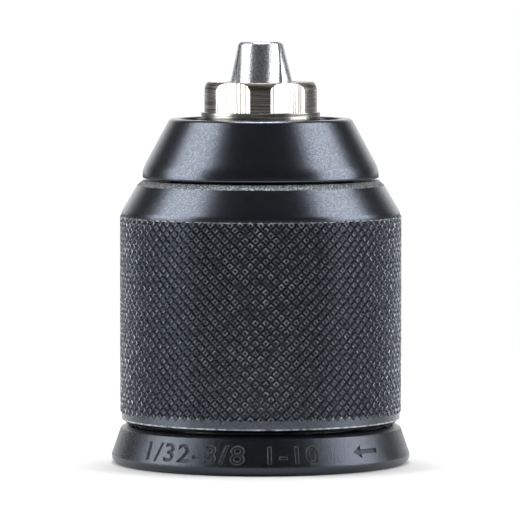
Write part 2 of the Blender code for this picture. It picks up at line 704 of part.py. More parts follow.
def main():
    for old in list(bpy.data.objects):
        bpy.data.objects.remove(old)
    nickel = material("nickel_plated_steel", (0.55, 0.53, 0.50), 0.3, 1.0)
    jaw_steel = material("ground_jaw_steel", (0.62, 0.64, 0.68), 0.25, 1.0)
    black_steel = material("blackened_steel", (0.02, 0.022, 0.028), 0.4, 1.0)
    plastic = material("black_polyamide", (0.02, 0.02, 0.022), 0.55, 0.0)
    steel = material("hardened_steel", (0.5, 0.5, 0.5), 0.3, 1.0)
    brass = material("cage_brass", (0.65, 0.45, 0.15), 0.35, 1.0)

    build_body(nickel)
    build_front_cap(black_steel)
    build_rear_ring(plastic)
    build_ratchet_ring(steel)
    for index in range(JAW_COUNT):
        build_jaw(index, jaw_steel)
    race, cage, balls = build_bearing(steel, brass)
    group("cage_axis", [cage, *balls])
    nut_halves = [
        build_nut_half("nut_half_a", NUT_SPLIT_AZIMUTH, steel),
        build_nut_half("nut_half_b", NUT_SPLIT_AZIMUTH + 180.0, steel),
    ]
    cup = build_nut_cup(steel)
    spring = build_detent_spring(steel)
    group("nut_axis", [race, *nut_halves, cup, spring])
    build_pawl(steel)
    sleeve = build_sleeve(black_steel)
    drive_ring = build_drive_ring(steel)
    cam = build_lock_cam(steel)
    group("sleeve_axis", [sleeve, drive_ring, cam])


main()
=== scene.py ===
import json
import math

import bmesh
import bpy
from bpy.props import FloatProperty, FloatVectorProperty, IntProperty, PointerProperty, StringProperty
from mathutils import Matrix, Quaternion, Vector


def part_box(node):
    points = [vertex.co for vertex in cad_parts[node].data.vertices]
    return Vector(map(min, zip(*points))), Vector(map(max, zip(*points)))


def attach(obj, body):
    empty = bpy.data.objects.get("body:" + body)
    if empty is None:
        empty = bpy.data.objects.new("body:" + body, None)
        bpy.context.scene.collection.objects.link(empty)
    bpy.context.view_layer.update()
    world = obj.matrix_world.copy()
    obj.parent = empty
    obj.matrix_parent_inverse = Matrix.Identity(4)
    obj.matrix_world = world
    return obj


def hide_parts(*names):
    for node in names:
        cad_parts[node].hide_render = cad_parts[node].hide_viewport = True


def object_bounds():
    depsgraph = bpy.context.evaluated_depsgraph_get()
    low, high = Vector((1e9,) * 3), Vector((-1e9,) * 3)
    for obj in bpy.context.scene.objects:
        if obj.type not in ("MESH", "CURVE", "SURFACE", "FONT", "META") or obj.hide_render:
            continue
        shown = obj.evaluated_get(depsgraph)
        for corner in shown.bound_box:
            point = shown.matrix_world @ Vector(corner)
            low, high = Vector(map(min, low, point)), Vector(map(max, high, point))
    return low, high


bl_info = {
    "name": "Keyless Drill Chuck",
    "version": (1, 0, 0),
    "blender": (4, 5, 0),
    "location": "View3D > Sidebar > Chuck",
    "description": "Dresses the packed drill chuck: knurl, engraved ring, jaws, finishes, floor and light",
    "category": "Object",
}

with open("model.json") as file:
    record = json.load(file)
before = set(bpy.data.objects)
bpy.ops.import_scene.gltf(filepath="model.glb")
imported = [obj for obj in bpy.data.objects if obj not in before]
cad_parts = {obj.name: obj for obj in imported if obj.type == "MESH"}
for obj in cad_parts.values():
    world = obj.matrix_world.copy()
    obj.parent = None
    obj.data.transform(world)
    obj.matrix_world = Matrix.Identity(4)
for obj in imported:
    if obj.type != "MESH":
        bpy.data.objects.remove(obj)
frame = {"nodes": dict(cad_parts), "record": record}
CAD_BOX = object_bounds()

MM = 0.001
SMOOTH_ANGLE = math.radians(32.0)
FLAT_EDGE_ANGLE = math.radians(12.0)
NOISE_RANGE = (0.22, 0.78)
TOLERANCE = 0.01


def cad_radius(node):
    """Outer radius of a round CAD node, in millimetres."""
    low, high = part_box(node)
    return (high.x - low.x) / 2.0 / MM


def cad_heights(node):
    """Lowest and highest point of a CAD node, in millimetres."""
    low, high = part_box(node)
    return low.z / MM, high.z / MM


# Sizes below are millimetres unless they are properties; meshes are scaled to metres when made.
JAW_COUNT = 3
JAW_TILT = math.radians(15.0)
JAW_RADIUS = 3.55
JAW_MEET_Z = 62.9
FIRST_JAW_AZIMUTH = -98.4
JAW_REAR_Z = 29.6
JAW_GAP = 0.3
JAW_TIP_FLAT = 0.35
JAW_TIP_ROUND = 0.6
JAW_BAR_LENGTH = 40.0
BORE_RADIUS = JAW_RADIUS + 0.25
BORE_BELOW_JAW = 19.8
BORE_ABOVE_MEETING = 10.0
JAW_TIP_Z = CAD_BOX[1][2] / MM

THREAD_PITCH = 1.5
THREAD_START_Z = 29.8
THREAD_START_AZIMUTH = 51.6
THREAD_TOP_Z = 55.0
GROOVE_DEPTH = 0.65
GROOVE_MOUTH = 0.6
GROOVE_FLOOR = 0.35

REAR_FACE_Z, NOSE_TOP_Z = cad_heights("chuck_body")
NOSE_RADIUS = 8.55
NOSE_TOP_RADIUS = 7.8
NOSE_CROWN_Z = 56.7
COLLAR_RADIUS = 9.03
COLLAR_TOP_Z = 53.5
SHANK_BORE_RADIUS = 5.3
SPINDLE_BORE_RADIUS = 6.35
SPINDLE_THREAD_PITCH = 1.27
SPINDLE_THREAD_DEPTH = 0.6
SPINDLE_TOP_Z = 17.0
FLAT_APOTHEM = 8.0
FLAT_BOTTOM_Z = COLLAR_TOP_Z + 0.02
FLAT_CUTTER_SIZE = (6.0, 12.0, 6.0)
NUT_GROOVE_RADIUS = 9.5
GUIDE_SHOULDER_Z = 48.6
GUIDE_BOTTOM_Z = 7.0
CROWN_STEEPNESS = (0.05, 0.93)
FLAT_AZIMUTHS = (-121.5, -59.5, 58.5, 120.5)

CAP_RADIUS = cad_radius("front_cap")
CAP_BOTTOM_Z, CAP_TOP_Z = cad_heights("front_cap")
CAP_MOUTH_RADIUS = 12.4
CAP_BORE_RADIUS = 14.2

SLEEVE_RADIUS = cad_radius("clamping_sleeve")
SLEEVE_BOTTOM_Z, SLEEVE_TOP_Z = cad_heights("clamping_sleeve")
SLEEVE_BAND_RADIUS = 21.25
SLEEVE_BORE_RADIUS = 20.2
REAR_EDGE_TOP_Z = 6.94
KNURL_BOTTOM_Z = 8.3
KNURL_TOP_Z = 37.6
KNURL_LAST_ROW_GAP = 0.3
KNURL_ROOT = 0.15
CREST_WIDENING = 1.24
CREST_START = 0.86
TOP_START = 0.97

RING_RADIUS = cad_radius("rear_ring")
RING_TOP_Z = cad_heights("rear_ring")[1]
RING_BORE_RADIUS = 16.0
FLARE_TOP = (21.4, 5.4)
FLARE_FOOT = (22.78, 1.35)
FOOT_SWELL = 0.012
MARK_MIDDLE_Z = 3.15
MARK_ZONE = (1.4, 4.9)
INCH_RANGE_PLACE, INCH_RANGE_SIZE = -27.9, (16.9, 3.0)
METRIC_RANGE_PLACE, METRIC_RANGE_SIZE = 12.9, (8.0, 2.8)
ARROW_PLACE, ARROW_SIZE = 45.0, (5.0, 2.0)
ARROW_LENGTH = 1.4
ARROW_SLICES = 14
MARK_OVERSHOOT = 0.03
MARK_FRONT_OFFSET = 0.03
MARK_BACK_OFFSET = -0.012
MARK_WALL_DEPTH = 0.03
MARK_FLOOR_DEPTH = 0.22

FLOOR_RADIUS = 4000.0
FLOOR_FADE = (40.0, 240.0)
FLOOR_REFLECTED = 0.3
WORLD_FADE = (0.7, 0.95)
WORLD_REFLECTED = (0.09, 1.3)
SOFTBOX_AZIMUTH = 84.0
SOFTBOX_DISTANCE = 620.0
SOFTBOX_HEIGHT = 360.0
SOFTBOX_AIM = 0.6
SOFTBOX_SIZE = (0.5, 0.95)
SOFTBOX_ROLL = 8.0
TOP_LIGHT_PLACE = (0.0, 0.2, 0.93)
TOP_LIGHT_SIZE = (0.36, 0.36)
CAMERA_TARGET = (-0.0001, 0.0, 0.0309)
CAMERA_FILM = 36.0
CAMERA_REACH = 20.0


# ---------------------------------------------------------------- settings


class ChuckKnurlSettings(bpy.types.PropertyGroup):
    columns: IntProperty(name="Columns", description="Knurl points around the sleeve", default=88, min=12)
    rows: IntProperty(name="Rows", description="Half-pitch rows of points up the sleeve", default=39, min=3)
    depth: FloatProperty(
        name="Depth", description="From the valleys to the flat tops",
        default=0.00044, unit="LENGTH", precision=5
    )
    top_width: FloatProperty(
        name="Top width", description="Across the corners of a flat top",
        default=0.00068, unit="LENGTH", precision=5
    )


class ChuckRingSettings(bpy.types.PropertyGroup):
    inch_range: StringProperty(name="Inch range", description="Capacity in inches", default="1/32-3/8")
    metric_range: StringProperty(name="Metric range", description="Capacity in millimetres", default="1-10")
    engraving_depth: FloatProperty(
        name="Engraving depth", description="How deep the marks are sunk",
        default=0.00028, unit="LENGTH", precision=5
    )


class ChuckFinishSettings(bpy.types.PropertyGroup):
    nickel: StringProperty(name="Nickel", description="Turned, nickel-plated steel", default="#CCC9C2")
    jaw_steel: StringProperty(name="Jaw steel", description="Ground jaws", default="#E2E4E8")
    black_steel: StringProperty(
        name="Black steel", description="Blue-black oxide on steel", default="#51555D"
    )
    plastic: StringProperty(name="Plastic", description="Black polyamide", default="#050506")


class ChuckStageSettings(bpy.types.PropertyGroup):
    distance: FloatProperty(
        name="Camera distance", description="Camera to the chuck's axis", default=0.763, unit="LENGTH"
    )
    elevation: FloatProperty(
        name="Camera elevation", description="Above level", default=math.radians(3.45), subtype="ANGLE"
    )
    lens: FloatProperty(name="Lens", description="Focal length", default=346.2, unit="CAMERA")
    floor_colour: FloatVectorProperty(
        name="Floor", description="Pale floor near the chuck", default=(0.88, 0.88, 0.88), subtype="COLOR"
    )
    softbox_power: FloatProperty(
        name="Softbox power", description="Each of the two side softboxes", default=6.5, unit="POWER"
    )
    top_power: FloatProperty(name="Top power", description="Soft light overhead", default=6.0, unit="POWER")


SETTINGS = {
    "chuck_knurl": ChuckKnurlSettings,
    "chuck_ring": ChuckRingSettings,
    "chuck_finish": ChuckFinishSettings,
    "chuck_stage": ChuckStageSettings,
}


# ---------------------------------------------------------------- mesh helpers


def polar(radius, azimuth, height=0.0):
    """Point at a radius and an azimuth in degrees."""
    angle = math.radians(azimuth)
    return Vector((radius * math.cos(angle), radius * math.sin(angle), height))


def linked(name, data):
    """New object in the scene."""
    made = bpy.data.objects.new(name, data)
    bpy.context.scene.collection.objects.link(made)
    return made


def as_object(name, mesh_builder, smooth=True):
    """A bmesh in millimetres becomes an object in metres at the origin."""
    bmesh.ops.scale(mesh_builder, vec=(MM, MM, MM), verts=mesh_builder.verts)
    bmesh.ops.recalc_face_normals(mesh_builder, faces=mesh_builder.faces)
    mesh = bpy.data.meshes.new(name)
    mesh_builder.to_mesh(mesh)
    mesh_builder.free()
    if smooth:
        mesh.shade_smooth()
        mesh.set_sharp_from_angle(angle=SMOOTH_ANGLE)
    return linked(name, mesh)


def skin(sections, closed):
    """Skin equal cross-sections, in a ring or capped at both ends."""
    made = bmesh.new()
    rows = [[made.verts.new(point) for point in section] for section in sections]
    count = len(rows[0])
    pairs = list(zip(rows, rows[1:]))
    if closed:
        pairs.append((rows[-1], rows[0]))
    for near, far in pairs:
        for index in range(count):
            after = (index + 1) % count
            made.faces.new((near[index], near[after], far[after], far[index]))
    if not closed:
        made.faces.new(rows[0])
        made.faces.new(reversed(rows[-1]))
    return made


def turned(outline, segments):
    """Revolve a closed (radius, height) outline about the chuck's axis."""
    sections = []
    for step in range(segments):
        azimuth = 360.0 * step / segments
        sections.append([polar(radius, azimuth, height) for radius, height in outline])
    return skin(sections, closed=True)


def rounded(corner, before, after, radius, steps=6):
    """Points of a fillet at a corner of an outline, between its two neighbours."""
    corner = Vector(corner)
    to_before = (Vector(before) - corner).normalized()
    to_after = (Vector(after) - corner).normalized()
    half = to_before.angle(to_after) / 2.0
    centre = corner + (to_before + to_after).normalized() * (radius / math.sin(half))
    start = corner + to_before * (radius / math.tan(half)) - centre
    sweep = start.angle_signed(corner + to_after * (radius / math.tan(half)) - centre)
    points = []
    for step in range(steps + 1):
        arm = start.copy()
        arm.rotate(Matrix.Rotation(-sweep * step / steps, 2))
        points.append(tuple(centre + arm))
    return points


def bar(radius, low, high, segments):
    """Solid round bar along local Z."""
    made = bmesh.new()
    middle = Matrix.Translation((0.0, 0.0, (low + high) / 2.0))
    bmesh.ops.create_cone(
        made, cap_ends=True, segments=segments,
        radius1=radius, radius2=radius, depth=high - low, matrix=middle
    )
    return made


def slice_off(mesh_builder, point, normal):
    """Cut away everything in front of a plane and close the cut."""
    everything = list(mesh_builder.verts) + list(mesh_builder.edges) + list(mesh_builder.faces)
    bmesh.ops.bisect_plane(mesh_builder, geom=everything, plane_co=point, plane_no=normal, clear_outer=True)
    rim = [edge for edge in mesh_builder.edges if edge.is_boundary]
    bmesh.ops.holes_fill(mesh_builder, edges=rim, sides=0)


def settle(made):
    """Turn an object's evaluated shape into its plain mesh, without modifiers."""
    evaluated = made.evaluated_get(bpy.context.evaluated_depsgraph_get())
    mesh = bpy.data.meshes.new_from_object(evaluated)
    made.modifiers.clear()
    made.data = mesh
    return made


def carve(made, cutters, sharp_angle=SMOOTH_ANGLE):
    """Subtract the cutters from an object, remove them, and keep edges past an angle sharp."""
    for cutter in cutters:
        modifier = made.modifiers.new(cutter.name, "BOOLEAN")
        modifier.operation = "DIFFERENCE"
        modifier.solver = "EXACT"
        modifier.object = cutter
    settle(made)
    for cutter in cutters:
        bpy.data.objects.remove(cutter)
    made.data.shade_smooth()
    made.data.set_sharp_from_angle(angle=sharp_angle)
    return made


def dress(made, body, node, slot, *materials):
    """Give a finished piece its materials and its body, and hide the CAD node it stands for; the record
    slot is not used.
    """
    made.data.materials.clear()
    for material in materials:
        made.data.materials.append(material)
    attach(made, body)
    if node is not None:
        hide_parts(node)


def paint_faces(made, slot_index, chosen):
    """Use another material slot on the faces that a test picks; it gets the face in millimetres."""
    for face in made.data.polygons:
        if chosen(face.center / MM, face.normal):
            face.material_index = slot_index


# ---------------------------------------------------------------- materials


def linear(hex_colour):
    """sRGB hex to a linear RGBA colour."""
    channels = [int(hex_colour[place : place + 2], 16) / 255.0 for place in (1, 3, 5)]
    straight = [c / 12.92 if c <= 0.04045 else ((c + 0.055) / 1.055) ** 2.4 for c in channels]
    return (*straight, 1.0)


def add_node(tree, kind, settings=None, inputs=None):
    """Add a node; an input's value may be a plain value or another node's output socket."""
    made = tree.nodes.new(kind)
    for name, value in (settings or {}).items():
        setattr(made, name, value)
    for name, value in (inputs or {}).items():
        socket = made.inputs[name]
        if isinstance(value, bpy.types.NodeSocket):
            tree.links.new(value, socket)
        else:
            socket.default_value = value
    return made


def new_material(name, colour, roughness, metallic):
    """Material with a Principled shader, with its node tree and the shader."""
    made = bpy.data.materials.new(name)
    made.use_nodes = True
    shader = made.node_tree.nodes["Principled BSDF"]
    shader.inputs["Base Color"].default_value = colour
    shader.inputs["Roughness"].default_value = roughness
    shader.inputs["Metallic"].default_value = metallic
    return made, made.node_tree, shader


def grain(tree, feature_mm, detail):
    """Noise from 0 to 1 on object coordinates; features have the given sizes along X, Y and Z."""
    place = add_node(tree, "ShaderNodeTexCoord").outputs["Object"]
    scale = [1.0 / (size * MM) for size in feature_mm]
    spread = add_node(tree, "ShaderNodeMapping", None, {"Vector": place, "Scale": scale}).outputs[0]
    values = {"Vector": spread, "Scale": 1.0, "Detail": detail, "Roughness": 0.6}
    noise = add_node(tree, "ShaderNodeTexNoise", None, values).outputs["Fac"]
    low, high = NOISE_RANGE
    values = {"Value": noise, "From Min": low, "From Max": high}
    return add_node(tree, "ShaderNodeMapRange", None, values).outputs["Result"]


def grained(material, feature_mm, tint=(), gloss=(), detail=2.0, relief_mm=0.0):
    """Let one noise drive a material's colour, its roughness and a relief of a real depth.

    Stops are (position, hex colour) in the tint and (position, roughness) in the gloss.
    """
    made, tree, shader = material
    if isinstance(feature_mm, float):
        feature_mm = (feature_mm, feature_mm, feature_mm)
    noise = grain(tree, feature_mm, detail)
    tint = [(position, linear(hex_colour)) for position, hex_colour in tint]
    gloss = [(position, (value, value, value, 1.0)) for position, value in gloss]
    for socket, stops in (("Base Color", tint), ("Roughness", gloss)):
        if not stops:
            continue
        ramp = add_node(tree, "ShaderNodeValToRGB", None, {"Fac": noise})
        elements = ramp.color_ramp.elements
        while len(elements) < len(stops):
            elements.new(0.5)
        for element, (position, colour) in zip(elements, stops):
            element.position = position
            element.color = colour
        tree.links.new(ramp.outputs["Color"], shader.inputs[socket])
    if relief_mm:
        relief = add_node(tree, "ShaderNodeBump", None, {"Height": noise, "Distance": relief_mm * MM})
        tree.links.new(relief.outputs["Normal"], shader.inputs["Normal"])
    return made


def turned_nickel_steel(hex_colour):
    """Nickel-plated steel off a lathe: fine rings that stretch reflections up and down."""
    steel = new_material("turned_nickel_steel", linear(hex_colour), 0.25, 1.0)
    tint = ((0.2, "#55534E"), (0.5, "#9C9992"), (0.8, hex_colour))
    gloss = ((0.2, 0.34), (0.8, 0.17))
    return grained(steel, (9.0, 9.0, 0.24), tint, gloss, detail=3.0, relief_mm=0.012)


def milled_nickel_steel(hex_colour):
    """Nickel-plated spanner flats: upright cutter marks, with dark streaks in the colour as painted shade
    for the marks turned away from the light.
    """
    steel = new_material("milled_nickel_steel", linear(hex_colour), 0.2, 1.0)
    tint = ((0.24, "#3E3C38"), (0.4, "#A5A29C"), (0.52, "#F0EEEA"))
    return grained(steel, (0.26, 0.26, 60.0), tint, detail=3.0, relief_mm=0.008)


def darker_crown_steel():
    """The nose's rounded rim, drawn in a duller, darker brown-grey than the rest of the plating."""
    steel = new_material("darker_crown_steel", linear("#6B6861"), 0.42, 1.0)
    tint = ((0.2, "#3B3934"), (0.55, "#6B6861"), (0.85, "#A3A099"))
    return grained(steel, (9.0, 9.0, 0.2), tint, relief_mm=0.01)


def painted_gap_shade_steel():
    """Inner guide faces seen only through the gaps, drawn near black: painted shade for the dark gaps, in
    place of the glint they would show.
    """
    steel = new_material("painted_gap_shade_steel", linear("#1C1B19"), 0.5, 0.3)
    return grained(steel, (1.4, 1.4, 0.6), ((0.2, "#0F0F0E"), (0.9, "#26241F")))


def ground_jaw_steel(hex_colour):
    """Hardened jaws, ground and tumbled: satin with a fine even speckle."""
    steel = new_material("ground_jaw_steel", linear(hex_colour), 0.29, 1.0)
    return grained(steel, 0.24, ((0.1, "#8F939C"), (0.7, hex_colour)), detail=1.5, relief_mm=0.02)


def black_oxide_steel(hex_colour):
    """Blued steel: a dark satin metal coat, with a fine grain that sparkles in the highlights.

    The real grain is finer; it is drawn as coarse as it needs to show.
    """
    steel = new_material("black_oxide_steel", linear(hex_colour), 0.24, 1.0)
    tint = ((0.15, "#40444A"), (0.5, hex_colour), (0.9, "#737A84"))
    return grained(steel, 0.14, tint, detail=3.0, relief_mm=0.0065)


def blasted_black_steel():
    """The sleeve's front shoulder: blasted before blueing, so it scatters light as a sandy grey."""
    steel = new_material("blasted_black_steel", linear("#3C3F42"), 0.5, 0.9)
    tint = ((0.2, "#2A2D31"), (0.5, "#5F6468"), (0.8, "#B4B9BC"))
    return grained(steel, 0.24, tint, relief_mm=0.06)


def knurled_black_steel(name, hex_colour, roughness):
    """The same coat on one kind of knurl face, in lit and shaded copies: smooth tops drawn darker as
    painted shade for the dark front they mirror, or rougher groove walls drawn paler as painted light with
    some wear.
    """
    steel = new_material(name, linear(hex_colour), roughness, 1.0)
    return grained(steel, 0.3, ((0.2, "#33373D"), (0.7, hex_colour)), detail=1.0, relief_mm=0.02)


def crest_wear_and_highlight():
    """Narrow bevels round each knurl point, drawn pale grey: partly coat rubbed back to steel, partly a
    painted highlight where the rounded edges catch the light.
    """
    steel = new_material("crest_wear_and_highlight", linear("#9BA1A8"), 0.45, 0.6)
    return grained(steel, 0.8, ((0.3, "#50545A"), (0.85, "#CCD1D6")))


def edge_highlight_steel():
    """Narrow sleeve edges drawn pale in short dashes: a painted highlight."""
    steel = new_material("edge_highlight_steel", linear("#5A6067"), 0.55, 0.25)
    return grained(steel, 0.7, ((0.25, "#4A4E54"), (0.75, "#C0C4C9")))


def moulded_polyamide(name, hex_colour, roughness):
    """Spark-eroded mould texture on black plastic: a fine grain that sparkles in the light."""
    plastic = new_material(name, linear(hex_colour), roughness, 0.0)
    _, _, shader = plastic
    shader.inputs["Specular IOR Level"].default_value = 1.0
    shader.inputs["Specular Tint"].default_value = linear("#D3DEF2")
    return grained(plastic, 0.24, ((0.4, hex_colour), (0.95, "#1B1E22")), detail=1.0, relief_mm=0.035)


def mark_edge_highlight_polyamide():
    """Slanted walls of the sunk marks, drawn pale grey as a painted highlight that outlines them."""
    plastic = new_material("mark_edge_highlight_polyamide", linear("#5B5E61"), 0.5, 0.0)
    return grained(plastic, 0.5, ((0.2, "#3A3C3F"), (0.8, "#6F7275")))


def oiled_tool_steel():
    """Hardened inner parts: ground, grey and slightly oily."""
    steel = new_material("oiled_tool_steel", linear("#A9ABAD"), 0.3, 1.0)
    return grained(steel, (4.0, 4.0, 0.2), gloss=((0.1, 0.4), (0.9, 0.24)), relief_mm=0.005)


def polished_ball_steel():
    """Lapped bearing parts: nearly a mirror."""
    steel = new_material("polished_ball_steel", linear("#D4D6D8"), 0.06, 1.0)
    return grained(steel, 0.5, gloss=((0.1, 0.04), (0.9, 0.1)))


def blued_spring_steel():
    """Tempered strip: dark blue with straw patches."""
    steel = new_material("blued_spring_steel", linear("#3E4A63"), 0.3, 1.0)
    return grained(steel, 3.0, ((0.2, "#36425E"), (0.8, "#6B6250")))


def stamped_brass():
    """Pressed cage strip: yellow with a light roll grain."""
    brass = new_material("stamped_brass", linear("#C9A24B"), 0.32, 1.0)
    return grained(brass, (0.15, 2.5, 2.5), ((0.1, "#A98434"), (0.9, "#D3AE5A")))


# ---------------------------------------------------------------- body and jaws


def jaw_azimuth(index):
    """Direction in which a jaw stands, in degrees."""
    return FIRST_JAW_AZIMUTH + index * 360.0 / JAW_COUNT


def jaw_frame(index):
    """Placement of a jaw in millimetres: local Z runs up its rod, local X is its toothed back."""
    outward = polar(1.0, jaw_azimuth(index))
    up = Vector((0.0, 0.0, 1.0))
    along = up * math.cos(JAW_TILT) - outward * math.sin(JAW_TILT)
    back = outward * math.cos(JAW_TILT) + up * math.sin(JAW_TILT)
    turn = Matrix((back, along.cross(back), along)).transposed().to_4x4()
    return Matrix.Translation((0.0, 0.0, JAW_MEET_Z)) @ turn


def rod_distance(height):
    """Distance up a jaw's rod, from where the axes meet, at a height."""
    return (height - JAW_MEET_Z) / math.cos(JAW_TILT)


def placed(mesh_builder, matrix):
    """Move a mesh by a matrix, and hand it on."""
    bmesh.ops.transform(mesh_builder, matrix=matrix, verts=mesh_builder.verts)
    return mesh_builder


def groove_places(index):
    """Distances up a jaw's rod at which its thread grooves are centred."""
    upright_pitch = THREAD_PITCH * math.cos(JAW_TILT)
    turn = (jaw_azimuth(index) - THREAD_START_AZIMUTH) % 360.0 / 360.0
    setback = (JAW_RADIUS / math.cos(JAW_TILT) + JAW_GAP) * math.sin(JAW_TILT)
    first = THREAD_START_Z + (turn - 2.0) * upright_pitch
    count = math.ceil((THREAD_TOP_Z - first) / upright_pitch)
    return [rod_distance(first + number * upright_pitch) - setback for number in range(count)]


def tooth_comb(index):
    """Comb that cuts the row of thread grooves into a jaw's back."""
    overshoot = 0.3
    wide = GROOVE_MOUTH + (GROOVE_MOUTH - GROOVE_FLOOR) / GROOVE_DEPTH * overshoot
    outer = JAW_RADIUS + overshoot
    floor = JAW_RADIUS - GROOVE_DEPTH
    places = groove_places(index)
    outline = [(outer + 1.0, places[0] - 1.0)]
    for place in places:
        outline += [(outer, place - wide), (floor, place - GROOVE_FLOOR)]
        outline += [(floor, place + GROOVE_FLOOR), (outer, place + wide)]
    outline.append((outer + 1.0, places[-1] + 1.0))
    half_width = JAW_RADIUS + 1.0
    sides = (-half_width, half_width)
    sections = [[Vector((back, side, along)) for back, along in outline] for side in sides]
    return placed(skin(sections, closed=False), jaw_frame(index))


def round_edges(mesh_builder, chosen, width, segments):
    """Bevel the edges that a test picks."""
    edges = [edge for edge in mesh_builder.edges if chosen(edge)]
    bmesh.ops.bevel(mesh_builder, geom=edges, offset=width, segments=segments, profile=0.5, affect="EDGES")


def tip_edge(edge):
    """True on the outer rim of a jaw's flat top."""
    on_top = all(abs(vert.co.z - JAW_TIP_Z) < 0.001 for vert in edge.verts)
    return on_top and all(vert.co.xy.length > JAW_RADIUS * 0.8 for vert in edge.verts)


def make_jaw(index):
    """Ground round jaw with a three-sided tip and thread teeth on its back."""
    rear = rod_distance(JAW_REAR_Z)
    rod = placed(bar(JAW_RADIUS, rear, rear + JAW_BAR_LENGTH, 96), jaw_frame(index))
    slice_off(rod, Vector((0.0, 0.0, JAW_TIP_Z)), Vector((0.0, 0.0, 1.0)))
    for side in (-1.0, 1.0):
        outside = polar(1.0, jaw_azimuth(index) + side * (180.0 / JAW_COUNT + 90.0))
        slice_off(rod, -outside * JAW_GAP / 2.0, outside)
    inward = -polar(1.0, jaw_azimuth(index))
    slice_off(rod, -inward * JAW_TIP_FLAT, inward)
    round_edges(rod, tip_edge, JAW_TIP_ROUND, 5)
    jaw = as_object(f"ground_jaw_{index + 1}", rod)
    return carve(jaw, [as_object("comb", tooth_comb(index))])


def nose_crown(steps=10):
    """Quarter ellipse from the nose's side to its top."""
    points = []
    for step in range(steps + 1):
        angle = math.pi / 2.0 * step / steps
        radius = NOSE_TOP_RADIUS + (NOSE_RADIUS - NOSE_TOP_RADIUS) * math.cos(angle)
        points.append((radius, NOSE_CROWN_Z + (NOSE_TOP_Z - NOSE_CROWN_Z) * math.sin(angle)))
    return points


def spindle_thread():
    """Outline of the thread in the rear bore, from its top down to the rear face."""
    points = []
    height = SPINDLE_TOP_Z - SPINDLE_THREAD_PITCH
    while height > REAR_FACE_Z + SPINDLE_THREAD_PITCH:
        points.append((SPINDLE_BORE_RADIUS, height))
        points.append((SPINDLE_BORE_RADIUS - SPINDLE_THREAD_DEPTH, height - SPINDLE_THREAD_PITCH / 2.0))
        height -= SPINDLE_THREAD_PITCH
    return points


def make_body():
    """Body: rear spigot, flange, bearing guide, nut groove, front guide, collar and flatted nose."""
    ledge = (NOSE_RADIUS, COLLAR_TOP_Z)
    collar_edge = (COLLAR_RADIUS, COLLAR_TOP_Z)
    outline = [
        (7.0, REAR_FACE_Z),
        (15.2, REAR_FACE_Z),
        (15.7, REAR_FACE_Z + 0.5),
        (15.7, 6.6),
        (18.3, 6.6),
        (18.6, 6.9),
        (18.6, 17.4),
        (16.3, 17.4),
        (16.3, 23.6),
        (13.9, 23.6),
        (13.9, 28.9),
        (NUT_GROOVE_RADIUS, 28.9),
        (NUT_GROOVE_RADIUS, 37.4),
        (13.9, 37.4),
        (13.9, 47.4),
        (12.1, GUIDE_SHOULDER_Z),
        (COLLAR_RADIUS, GUIDE_SHOULDER_Z),
    ]
    outline += rounded(collar_edge, (COLLAR_RADIUS, GUIDE_SHOULDER_Z), ledge, 0.12, steps=3)
    outline.append(ledge)
    outline += nose_crown()
    mouth = (SHANK_BORE_RADIUS, NOSE_TOP_Z)
    top_edge = (NOSE_TOP_RADIUS, NOSE_TOP_Z)
    outline += rounded(mouth, top_edge, (SHANK_BORE_RADIUS, COLLAR_TOP_Z), 0.35, steps=3)
    outline += [(SHANK_BORE_RADIUS, SPINDLE_TOP_Z + 0.8), (6.1, SPINDLE_TOP_Z)]
    outline += spindle_thread()
    body = as_object("nickel_body", turned(outline, 160))
    cutters = []
    for index in range(JAW_COUNT):
        bore = bar(BORE_RADIUS, rod_distance(JAW_REAR_Z) - BORE_BELOW_JAW, BORE_ABOVE_MEETING, 48)
        cutters.append(as_object("bore", placed(bore, jaw_frame(index))))
    thickness, _, height = FLAT_CUTTER_SIZE
    middle = Vector((FLAT_APOTHEM + thickness / 2.0, 0.0, FLAT_BOTTOM_Z + height / 2.0))
    for azimuth in FLAT_AZIMUTHS:
        milled = bmesh.new()
        bmesh.ops.create_cube(milled, size=1.0)
        bmesh.ops.scale(milled, vec=FLAT_CUTTER_SIZE, verts=milled.verts)
        bmesh.ops.translate(milled, vec=middle, verts=milled.verts)
        cutters.append(as_object("flat", placed(milled, Matrix.Rotation(math.radians(azimuth), 4, "Z"))))
    return carve(body, cutters, FLAT_EDGE_ANGLE)


def on_spanner_flat(centre, normal):
    """True for the faces of the spanner flats."""
    if centre.z < COLLAR_TOP_Z or abs(normal.z) > 0.1:
        return False
    for azimuth in FLAT_AZIMUTHS:
        outward = polar(1.0, azimuth)
        if outward.dot(normal) > 0.999 and abs(outward.dot(centre) - FLAT_APOTHEM) < TOLERANCE:
            return True
    return False


def on_nose_crown(centre, normal):
    """True for the rounded rim of the nose, but not its top face or the jaw bores."""
    steep, flat = CROWN_STEEPNESS
    return centre.z > NOSE_CROWN_Z and steep < normal.z < flat and normal.xy.dot(centre.xy) > 0.0


def on_gap_shaded_guide(centre, normal):
    """True for the outer faces that the sleeve and the cap hide, seen only through their gaps, which get
    painted shade.
    """
    margin = 0.1
    outside = centre.xy.length > NUT_GROOVE_RADIUS - margin
    beside = GUIDE_BOTTOM_Z < centre.z < GUIDE_SHOULDER_Z + margin
    return outside and beside and normal.xy.dot(centre.xy) >= -margin


# ---------------------------------------------------------------- cap, sleeve and knurl


